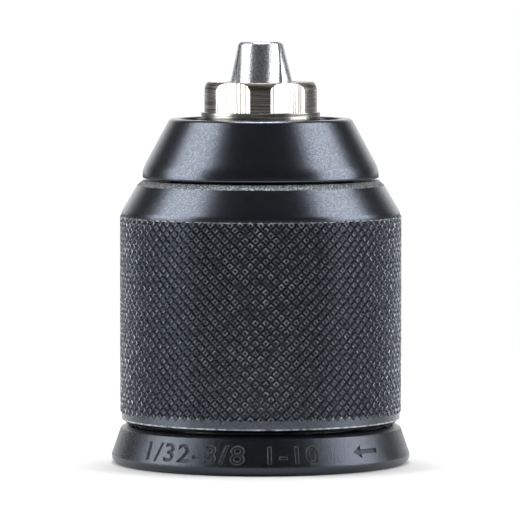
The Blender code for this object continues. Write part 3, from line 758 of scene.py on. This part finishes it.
def make_front_cap():
    """Cone-shaped cap with a rolled rim."""
    top_edge = (13.85, CAP_TOP_Z)
    cone_foot = (CAP_RADIUS, 44.83)
    bottom_edge = (CAP_RADIUS, CAP_BOTTOM_Z)
    inner_bottom = (CAP_BORE_RADIUS, CAP_BOTTOM_Z)
    mouth_edge = (CAP_MOUTH_RADIUS, CAP_TOP_Z)
    outline = [inner_bottom]
    outline += rounded(bottom_edge, inner_bottom, cone_foot, 0.25, steps=4)
    outline += rounded(cone_foot, bottom_edge, top_edge, 4.2, steps=10)
    outline += rounded(top_edge, cone_foot, mouth_edge, 0.8, steps=8)
    outline += rounded(mouth_edge, top_edge, (CAP_MOUTH_RADIUS, 49.0), 0.3, steps=4)
    outline += [(CAP_MOUTH_RADIUS, 49.4), (CAP_BORE_RADIUS, 48.1)]
    return as_object("blued_cap", turned(outline, 192))


def make_sleeve_shell(knurl_depth):
    """Sleeve without its knurl points: shoulder, cone, knurl valley, rear band."""
    shoulder_top = (17.95, SLEEVE_TOP_Z)
    shoulder_foot = (18.8, 42.4)
    cone_foot = (21.22, 38.3)
    valley = SLEEVE_RADIUS - knurl_depth
    outline = [
        (SLEEVE_BORE_RADIUS, SLEEVE_BOTTOM_Z),
        (20.6, SLEEVE_BOTTOM_Z),
        (21.2, 6.72),
        (SLEEVE_BAND_RADIUS, 6.76),
        (SLEEVE_BAND_RADIUS, REAR_EDGE_TOP_Z),
        (SLEEVE_BAND_RADIUS, KNURL_BOTTOM_Z - 0.1),
        (valley, KNURL_BOTTOM_Z + 0.2),
        (valley, KNURL_TOP_Z - 0.25),
        (cone_foot[0], KNURL_TOP_Z - 0.05),
        (cone_foot[0], KNURL_TOP_Z + 0.05),
    ]
    outline += rounded(cone_foot, (cone_foot[0], KNURL_TOP_Z), shoulder_foot, 1.2, steps=5)
    outline += rounded(shoulder_foot, cone_foot, shoulder_top, 0.35, steps=3)
    outline += rounded(shoulder_top, shoulder_foot, (14.4, SLEEVE_TOP_Z), 0.2, steps=3)
    outline += [(14.4, SLEEVE_TOP_Z), (14.4, 40.6), (18.0, 40.6), (18.0, 38.0), (19.3, 37.3)]
    outline += [(SLEEVE_BORE_RADIUS, 36.4)]
    return as_object("blued_sleeve", turned(outline, 256))


def on_highlighted_edge(centre, normal):
    """True on the narrow edges of the sleeve that get the painted highlight."""
    outside = centre.xy.length > SLEEVE_BAND_RADIUS - 0.5 and normal.xy.length > 0.3
    return outside and (6.7 < centre.z < REAR_EDGE_TOP_Z or abs(centre.z - KNURL_TOP_Z) < 0.06)


def on_blasted_shoulder(centre, normal):
    """True on the sleeve's narrow front shoulder."""
    return centre.z > 42.35 and normal.z > 0.2 and centre.xy.length > 17.0


def knurl_tree():
    """Geometry nodes: a staggered lattice of flat-topped four-sided points round a cylinder."""
    tree = bpy.data.node_groups.new("knurl_points", "GeometryNodeTree")
    face = tree.interface
    face.new_socket("Geometry", in_out="INPUT", socket_type="NodeSocketGeometry")
    for name, kind in (
        ("Columns", "Int"),
        ("Rows", "Int"),
        ("Radius", "Float"),
        ("Depth", "Float"),
        ("Top Width", "Float"),
        ("Bottom", "Float"),
        ("Row Step", "Float"),
        ("Point Width", "Float"),
        ("Top Finish", "Material"),
        ("Crest Finish", "Material"),
        ("Flank Finish", "Material"),
    ):
        face.new_socket(name, in_out="INPUT", socket_type=f"NodeSocket{kind}")
    face.new_socket("Geometry", in_out="OUTPUT", socket_type="NodeSocketGeometry")
    given = add_node(tree, "NodeGroupInput").outputs

    def maths(operation, first, second=0.0, third=0.0):
        made = add_node(tree, "ShaderNodeMath", {"operation": operation})
        for socket, value in zip(made.inputs, (first, second, third)):
            if isinstance(value, bpy.types.NodeSocket):
                tree.links.new(value, socket)
            else:
                socket.default_value = value
        return made.outputs[0]

    def stud(low_width, high_width, low, high):
        """Four-sided frustum along +Z with corners on X and Y, between two depths."""
        values = {
            "Vertices": 4,
            "Radius Bottom": maths("MULTIPLY", low_width, 0.5),
            "Radius Top": maths("MULTIPLY", high_width, 0.5),
            "Depth": maths("SUBTRACT", high, low),
        }
        cone = add_node(tree, "GeometryNodeMeshCone", None, values)
        lift = add_node(tree, "ShaderNodeCombineXYZ", None, {"Z": low})
        values = {"Geometry": cone.outputs["Mesh"], "Translation": lift.outputs[0]}
        return add_node(tree, "GeometryNodeTransform", None, values).outputs[0]

    index = add_node(tree, "GeometryNodeInputIndex").outputs[0]
    column = maths("MODULO", index, given["Columns"])
    row = maths("FLOOR", maths("DIVIDE", index, given["Columns"]))
    stagger = maths("MULTIPLY", maths("MODULO", row, 2.0), 0.5)
    angle = maths("DIVIDE", maths("MULTIPLY", maths("ADD", column, stagger), math.tau), given["Columns"])
    height = maths("MULTIPLY_ADD", row, given["Row Step"], given["Bottom"])
    valley = maths("SUBTRACT", given["Radius"], given["Depth"])
    across = maths("MULTIPLY", maths("COSINE", angle), valley)
    along = maths("MULTIPLY", maths("SINE", angle), valley)
    place = add_node(tree, "ShaderNodeCombineXYZ", None, {"X": across, "Y": along, "Z": height})
    count = maths("MULTIPLY", given["Columns"], given["Rows"])
    line = add_node(tree, "GeometryNodeMeshLine", {"mode": "OFFSET"}, {"Count": count})
    values = {"Geometry": line.outputs[0], "Position": place.outputs[0]}
    points = add_node(tree, "GeometryNodeSetPosition", None, values)
    shoulder_width = maths("MULTIPLY", given["Top Width"], CREST_WIDENING)
    shoulder_height = maths("MULTIPLY", given["Depth"], CREST_START)
    sunk = maths("MULTIPLY", given["Depth"], -KNURL_ROOT)
    join = add_node(tree, "GeometryNodeJoinGeometry")
    flank = stud(given["Point Width"], shoulder_width, sunk, shoulder_height)
    crest = stud(shoulder_width, given["Top Width"], shoulder_height, given["Depth"])
    tree.links.new(flank, join.inputs[0])
    tree.links.new(crest, join.inputs[0])
    turn = add_node(tree, "ShaderNodeCombineXYZ", None, {"Y": math.pi / 2.0, "Z": angle})
    values = {"Points": points.outputs[0], "Instance": join.outputs[0], "Rotation": turn.outputs[0]}
    studs = add_node(tree, "GeometryNodeInstanceOnPoints", None, values)
    shape = add_node(tree, "GeometryNodeRealizeInstances", None, {"Geometry": studs.outputs[0]}).outputs[0]
    spot = add_node(tree, "GeometryNodeInputPosition").outputs[0]
    parts = add_node(tree, "ShaderNodeSeparateXYZ", None, {"Vector": spot}).outputs
    squares = [maths("MULTIPLY", parts[axis], parts[axis]) for axis in "XY"]
    radius = maths("SQRT", maths("ADD", *squares))
    rise = maths("DIVIDE", maths("SUBTRACT", radius, valley), given["Depth"])
    # The walls, the crest bevels and the tops each get their own copy of the coat: painted paler, a painted
    # highlight, painted darker.
    for finish, start in (("Flank Finish", -1.0), ("Crest Finish", CREST_START), ("Top Finish", TOP_START)):
        chosen = maths("GREATER_THAN", rise, start)
        values = {"Geometry": shape, "Selection": chosen, "Material": given[finish]}
        shape = add_node(tree, "GeometryNodeSetMaterial", None, values).outputs[0]
    add_node(tree, "NodeGroupOutput", None, {"Geometry": shape})
    return tree


def make_knurl(settings, finishes):
    """Knurl points as their own mesh, made by geometry nodes."""
    step = (KNURL_TOP_Z - KNURL_BOTTOM_Z - KNURL_LAST_ROW_GAP) * MM / (settings.rows - 1)
    values = {
        "Columns": settings.columns,
        "Rows": settings.rows,
        "Radius": SLEEVE_RADIUS * MM,
        "Depth": settings.depth,
        "Top Width": settings.top_width,
        "Bottom": KNURL_BOTTOM_Z * MM,
        "Row Step": step,
        "Point Width": math.tau * SLEEVE_RADIUS * MM / settings.columns,
        **finishes,
    }
    carrier = linked("sleeve_knurl", bpy.data.meshes.new("sleeve_knurl"))
    modifier = carrier.modifiers.new("knurl", "NODES")
    modifier.node_group = knurl_tree()
    for item in modifier.node_group.interface.items_tree:
        if item.item_type == "SOCKET" and item.name in values:
            modifier[item.identifier] = values[item.name]
    return settle(carrier)


# ---------------------------------------------------------------- rear ring


def flare_frame():
    """Foot of the ring's flare, its direction up the slope and its outward normal."""
    foot = Vector(FLARE_FOOT)
    up_slope = (Vector(FLARE_TOP) - foot).normalized()
    return foot, up_slope, Vector((up_slope.y, -up_slope.x))


def ring_point(arc, rise, sink, middle_azimuth):
    """Point on the ring's flare: along the arc, up the slope and out from the surface."""
    foot, up_slope, outward = flare_frame()
    middle = foot + up_slope * ((MARK_MIDDLE_Z - foot.y) / up_slope.y)
    spot = middle + up_slope * rise + outward * sink
    return polar(spot.x, -90.0 + middle_azimuth + math.degrees(arc / middle.x), spot.y)


def wrap_on_ring(mesh, name, middle_azimuth, size, depth):
    """Fit a flat mark, drawn in XY and extruded in Z, to a size on the flare, as a cutter."""
    width, height = size
    made = bmesh.new()
    made.from_mesh(mesh)
    bmesh.ops.remove_doubles(made, verts=made.verts, dist=0.0001)
    spans = []
    for axis in range(3):
        places = [vert.co[axis] for vert in made.verts]
        spans.append((min(places), max(places)))
    for vert in made.verts:
        share = [(vert.co[axis] - low) / (high - low) - 0.5 for axis, (low, high) in enumerate(spans)]
        sink = MARK_OVERSHOOT if share[2] > 0.0 else -depth
        vert.co = ring_point(share[0] * width, share[1] * height, sink, middle_azimuth)
    return as_object(name, made)


def lettering(words, offset):
    """Plain sans-serif lettering as a closed mesh, its outline moved by an offset."""
    curve = bpy.data.curves.new("lettering", "FONT")
    curve.body = words
    curve.extrude = 0.1
    curve.offset = offset
    curve.space_character = 1.12
    curve.resolution_u = 4
    holder = linked("lettering", curve)
    evaluated = holder.evaluated_get(bpy.context.evaluated_depsgraph_get())
    mesh = bpy.data.meshes.new_from_object(evaluated)
    bpy.data.objects.remove(holder)
    return mesh


def text_mesh(words):
    """Lettering that is wide at the front and narrow at the back, so that its walls slant."""
    wide = lettering(words, MARK_FRONT_OFFSET)
    narrow = lettering(words, MARK_BACK_OFFSET)
    for front, back in zip(wide.vertices, narrow.vertices, strict=True):
        if front.co.z < 0.0:
            front.co.xy = back.co.xy
    return wide


def arrow_mesh():
    """Plain turning arrow, cut into thin slices so that it bends with the ring."""
    head, bottom, top = 0.45, 0.32, 0.68
    outline = [(0.0, 0.5), (head, 1.0), (head, top), (ARROW_LENGTH, top)]
    outline += [(ARROW_LENGTH, bottom), (head, bottom), (head, 0.0)]
    sections = [[Vector((x, y, z)) for x, y in outline] for z in (0.0, 0.2)]
    made = skin(sections, closed=False)
    for slice_index in range(1, ARROW_SLICES):
        everything = list(made.verts) + list(made.edges) + list(made.faces)
        place = (ARROW_LENGTH * (slice_index + 0.03) / ARROW_SLICES, 0.0, 0.0)
        bmesh.ops.bisect_plane(made, geom=everything, plane_co=place, plane_no=(1.0, 0.0, 0.0))
    mesh = bpy.data.meshes.new("arrow")
    made.to_mesh(mesh)
    made.free()
    return mesh


def make_rear_ring(settings):
    """Flared ring with the capacity range sunk into its front."""
    shoulder = (20.3, RING_TOP_Z)
    base_edge = (22.6, 0.0)
    inner_base = (RING_BORE_RADIUS, 0.0)
    foot = (RING_RADIUS + FOOT_SWELL, FLARE_FOOT[1])
    outline = [inner_base]
    outline += rounded(base_edge, inner_base, foot, 1.1, steps=8)
    outline += rounded(foot, base_edge, FLARE_TOP, 0.9, steps=6)
    outline += rounded(FLARE_TOP, foot, shoulder, 0.35, steps=5)
    outline += rounded(shoulder, FLARE_TOP, (18.0, RING_TOP_Z), 0.3, steps=4)
    outline.append((RING_BORE_RADIUS, RING_TOP_Z))
    ring = as_object("polyamide_ring", turned(outline, 256))
    depth = settings.engraving_depth / MM
    inch, metric = text_mesh(settings.inch_range), text_mesh(settings.metric_range)
    cutters = [
        wrap_on_ring(inch, "inch_range", INCH_RANGE_PLACE, INCH_RANGE_SIZE, depth),
        wrap_on_ring(metric, "metric_range", METRIC_RANGE_PLACE, METRIC_RANGE_SIZE, depth),
        wrap_on_ring(arrow_mesh(), "turning_arrow", ARROW_PLACE, ARROW_SIZE, depth),
    ]
    return carve(ring, cutters)


def mark_depth(centre):
    """How far an outward face of the flare lies under its surface; 0 elsewhere."""
    foot, _, outward = flare_frame()
    depth = (foot - Vector((centre.xy.length, centre.z))).dot(outward)
    low, high = MARK_ZONE
    on_flare = low < centre.z < high and centre.xy.length > RING_BORE_RADIUS + 1.0
    return depth if on_flare else 0.0


def on_mark_floor(centre, normal):
    """True on the floors of the sunk marks, which get painted shade."""
    return mark_depth(centre) > MARK_FLOOR_DEPTH


def on_mark_wall(centre, normal):
    """True on the slanted walls of the sunk marks, which get a painted highlight."""
    return MARK_WALL_DEPTH < mark_depth(centre) < MARK_FLOOR_DEPTH


# ---------------------------------------------------------------- operators


def finish_settings():
    """The finishes set for the scene."""
    return bpy.context.scene.chuck_finish


class CHUCK_OT_body(bpy.types.Operator):
    """Make the nickel-plated body with its bores, thread and spanner flats"""

    bl_idname = "chuck.body"
    bl_label = "Chuck Body"

    def execute(self, context):
        body = make_body()
        colour = finish_settings().nickel
        outside = turned_nickel_steel(colour), milled_nickel_steel(colour)
        looks = (*outside, painted_gap_shade_steel(), darker_crown_steel())
        dress(body, "chuck", "chuck_body", "nickel_steel", *looks)
        # The spanner flats carry painted shade in the dark streaks of their colour.
        paint_faces(body, 1, on_spanner_flat)
        # The guide faces seen through the gaps get a near-black painted shade.
        paint_faces(body, 2, on_gap_shaded_guide)
        # The nose's rounded rim is drawn in a darker brown-grey.
        paint_faces(body, 3, on_nose_crown)
        return {"FINISHED"}


class CHUCK_OT_jaws(bpy.types.Operator):
    """Make the ground jaws"""

    bl_idname = "chuck.jaws"
    bl_label = "Jaws"

    def execute(self, context):
        steel = ground_jaw_steel(finish_settings().jaw_steel)
        for index in range(JAW_COUNT):
            name = f"jaw_{index + 1}"
            dress(make_jaw(index), name, name, "jaw_steel", steel)
        return {"FINISHED"}


class CHUCK_OT_front_cap(bpy.types.Operator):
    """Make the blued front cap"""

    bl_idname = "chuck.front_cap"
    bl_label = "Front Cap"

    def execute(self, context):
        coat = black_oxide_steel(finish_settings().black_steel)
        dress(make_front_cap(), "chuck", "front_cap", "black_steel", coat)
        return {"FINISHED"}


class CHUCK_OT_sleeve(bpy.types.Operator):
    """Make the clamping sleeve and its knurl"""

    bl_idname = "chuck.sleeve"
    bl_label = "Clamping Sleeve"

    def execute(self, context):
        settings = context.scene.chuck_knurl
        shell = make_sleeve_shell(settings.depth / MM)
        coat = bpy.data.materials["black_oxide_steel"]
        # The narrow edges of the sleeve get a painted highlight in short dashes.
        looks = (coat, edge_highlight_steel(), blasted_black_steel())
        dress(shell, "sleeve", "clamping_sleeve", "black_steel", *looks)
        paint_faces(shell, 1, on_highlighted_edge)
        paint_faces(shell, 2, on_blasted_shoulder)
        # Knurl tops get a darker copy of the coat as painted shade, the groove walls a paler copy as
        # painted light, the crests a painted highlight with some wear.
        finishes = {
            "Top Finish": knurled_black_steel("knurl_tops", "#33363B", 0.36),
            "Crest Finish": crest_wear_and_highlight(),
            "Flank Finish": knurled_black_steel("knurl_flanks", "#6B7078", 0.5),
        }
        knurl = make_knurl(settings, finishes)
        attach(knurl, "sleeve")
        return {"FINISHED"}


class CHUCK_OT_rear_ring(bpy.types.Operator):
    """Make the flared plastic ring with its sunk capacity range"""

    bl_idname = "chuck.rear_ring"
    bl_label = "Rear Ring"

    def execute(self, context):
        ring = make_rear_ring(context.scene.chuck_ring)
        outside = moulded_polyamide("moulded_polyamide", finish_settings().plastic, 0.27)
        # The floors of the sunk marks get a near-black, rougher copy of the plastic as painted shade.
        inside = moulded_polyamide("recess_shade_polyamide", "#030303", 0.6)
        # The slanted walls of the marks get a pale grey painted highlight.
        dress(ring, "chuck", "rear_ring", "black_plastic", outside, inside, mark_edge_highlight_polyamide())
        paint_faces(ring, 1, on_mark_floor)
        paint_faces(ring, 2, on_mark_wall)
        return {"FINISHED"}


class CHUCK_OT_inner_works(bpy.types.Operator):
    """Give the nut, the bearing and the lock inside their finishes"""

    bl_idname = "chuck.inner_works"
    bl_label = "Inner Works"

    def execute(self, context):
        looks = {
            "hardened_steel": oiled_tool_steel(),
            "bearing_steel": polished_ball_steel(),
            "spring_steel": blued_spring_steel(),
            "brass": stamped_brass(),
        }
        for part in frame["record"]["subparts"]:
            look = looks.get(part["material_slot"])
            if look is not None:
                mesh = frame["nodes"][part["node"]].data
                mesh.materials.clear()
                mesh.materials.append(look)
        return {"FINISHED"}


def add_softbox(name, place, target, size, power, roll=0.0):
    """Rectangular soft light aimed at a point, rolled about its own axis by some degrees."""
    light = bpy.data.lights.new(name, "AREA")
    light.shape = "RECTANGLE"
    light.size, light.size_y = size
    light.energy = power
    holder = linked(name, light)
    holder.location = place
    aim = (Vector(target) - Vector(place)).to_track_quat("-Z", "Y")
    holder.rotation_euler = (aim @ Quaternion((0.0, 0.0, 1.0), math.radians(roll))).to_euler()
    holder.visible_camera = False


def add_floor(colour):
    """Large pale round floor that fades into an even white far away, and is clear from below."""
    made = bmesh.new()
    bmesh.ops.create_circle(made, cap_ends=True, segments=64, radius=FLOOR_RADIUS)
    floor = as_object("pale_floor", made, smooth=False)
    paper, tree, shader = new_material("pale_floor_paper", (*colour, 1.0), 0.9, 0.0)
    shader.inputs["Specular IOR Level"].default_value = 0.1
    place = add_node(tree, "ShaderNodeTexCoord")
    values = {"Vector": place.outputs["Object"]}
    distance = add_node(tree, "ShaderNodeVectorMath", {"operation": "LENGTH"}, values)
    near, far = FLOOR_FADE
    values = {"Value": distance.outputs["Value"], "From Min": near * MM, "From Max": far * MM}
    share = add_node(tree, "ShaderNodeMapRange", {"interpolation_type": "SMOOTHSTEP"}, values)
    path = add_node(tree, "ShaderNodeLightPath")
    values = {"Value": path.outputs["Is Camera Ray"], "To Min": FLOOR_REFLECTED, "To Max": 1.0}
    seen = add_node(tree, "ShaderNodeMapRange", None, values)
    glow = add_node(tree, "ShaderNodeEmission", None, {"Strength": seen.outputs["Result"]})
    mix = add_node(tree, "ShaderNodeMixShader", None, {"Fac": share.outputs["Result"]})
    tree.links.new(shader.outputs["BSDF"], mix.inputs[1])
    tree.links.new(glow.outputs["Emission"], mix.inputs[2])
    side = add_node(tree, "ShaderNodeNewGeometry")
    clear = add_node(tree, "ShaderNodeBsdfTransparent")
    one_sided = add_node(tree, "ShaderNodeMixShader", None, {"Fac": side.outputs["Backfacing"]})
    tree.links.new(mix.outputs["Shader"], one_sided.inputs[1])
    tree.links.new(clear.outputs["BSDF"], one_sided.inputs[2])
    tree.links.new(one_sided.outputs["Shader"], tree.nodes["Material Output"].inputs["Surface"])
    floor.data.materials.append(paper)
    return floor


def set_world():
    """White surroundings for the camera; the chuck reflects a dark front and a white back."""
    world = bpy.data.worlds.new("studio")
    bpy.context.scene.world = world
    world.use_nodes = True
    tree = world.node_tree
    background = tree.nodes["Background"]
    background.inputs["Color"].default_value = (1.0, 1.0, 1.0, 1.0)
    place = add_node(tree, "ShaderNodeTexCoord")
    parts = add_node(tree, "ShaderNodeSeparateXYZ", None, {"Vector": place.outputs["Generated"]})
    near, far = WORLD_FADE
    front, back = WORLD_REFLECTED
    values = {
        "Value": parts.outputs["Y"], "From Min": near, "From Max": far, "To Min": front, "To Max": back
    }
    reflected = add_node(tree, "ShaderNodeMapRange", {"interpolation_type": "SMOOTHSTEP"}, values)
    path = add_node(tree, "ShaderNodeLightPath")
    values = {"Factor": path.outputs["Is Camera Ray"], "A": reflected.outputs["Result"], "B": 1.0}
    strength = add_node(tree, "ShaderNodeMix", {"data_type": "FLOAT"}, values)
    tree.links.new(strength.outputs["Result"], background.inputs["Strength"])


class CHUCK_OT_stage(bpy.types.Operator):
    """Set up the floor, the studio light and the camera"""

    bl_idname = "chuck.stage"
    bl_label = "Stage"

    def execute(self, context):
        settings = context.scene.chuck_stage
        add_floor(settings.floor_colour)
        set_world()
        context.scene.view_settings.view_transform = "Standard"
        target = Vector(CAMERA_TARGET)
        for side, name in ((-1.0, "left_softbox"), (1.0, "right_softbox")):
            azimuth = -90.0 + side * SOFTBOX_AZIMUTH
            place = polar(SOFTBOX_DISTANCE * MM, azimuth, SOFTBOX_HEIGHT * MM)
            aim_at = (0.0, 0.0, SOFTBOX_HEIGHT * MM * SOFTBOX_AIM)
            add_softbox(name, place, aim_at, SOFTBOX_SIZE, settings.softbox_power, -side * SOFTBOX_ROLL)
        add_softbox("top_softbox", TOP_LIGHT_PLACE, (0.0, 0.0, 0.0), TOP_LIGHT_SIZE, settings.top_power)
        camera = bpy.data.cameras.new("camera")
        camera.lens = settings.lens
        camera.sensor_width = CAMERA_FILM
        camera.clip_end = CAMERA_REACH
        holder = linked("camera", camera)
        level = settings.distance * math.cos(settings.elevation)
        holder.location = target + Vector((0.0, -level, settings.distance * math.sin(settings.elevation)))
        holder.rotation_euler = (target - holder.location).to_track_quat("-Z", "Y").to_euler()
        context.scene.camera = holder
        return {"FINISHED"}


OPERATORS = (
    CHUCK_OT_body,
    CHUCK_OT_jaws,
    CHUCK_OT_front_cap,
    CHUCK_OT_sleeve,
    CHUCK_OT_rear_ring,
    CHUCK_OT_inner_works,
    CHUCK_OT_stage,
)


class CHUCK_PT_panel(bpy.types.Panel):
    """Lists the chuck's pieces and their settings"""

    bl_label = "Drill Chuck"
    bl_idname = "CHUCK_PT_panel"
    bl_space_type = "VIEW_3D"
    bl_region_type = "UI"
    bl_category = "Chuck"

    def draw(self, context):
        for operator in OPERATORS:
            self.layout.operator(operator.bl_idname)
        for name, group in SETTINGS.items():
            column = self.layout.column(align=True)
            for field in group.__annotations__:
                column.prop(getattr(context.scene, name), field)


def register():
    """Add the settings, the operators and the panel to Blender."""
    for group in SETTINGS.values():
        bpy.utils.register_class(group)
    for name, group in SETTINGS.items():
        setattr(bpy.types.Scene, name, PointerProperty(type=group))
    for operator in OPERATORS:
        bpy.utils.register_class(operator)
    bpy.utils.register_class(CHUCK_PT_panel)


def unregister():
    """Take them away again, in reverse."""
    bpy.utils.unregister_class(CHUCK_PT_panel)
    for operator in reversed(OPERATORS):
        bpy.utils.unregister_class(operator)
    for name in SETTINGS:
        delattr(bpy.types.Scene, name)
    for group in SETTINGS.values():
        bpy.utils.unregister_class(group)


def main():
    """Make every piece and the stage."""
    register()
    bpy.ops.chuck.body()
    bpy.ops.chuck.jaws()
    bpy.ops.chuck.front_cap()
    bpy.ops.chuck.sleeve()
    bpy.ops.chuck.rear_ring()
    bpy.ops.chuck.inner_works()
    bpy.ops.chuck.stage()


if __name__ == "__main__":
    main()
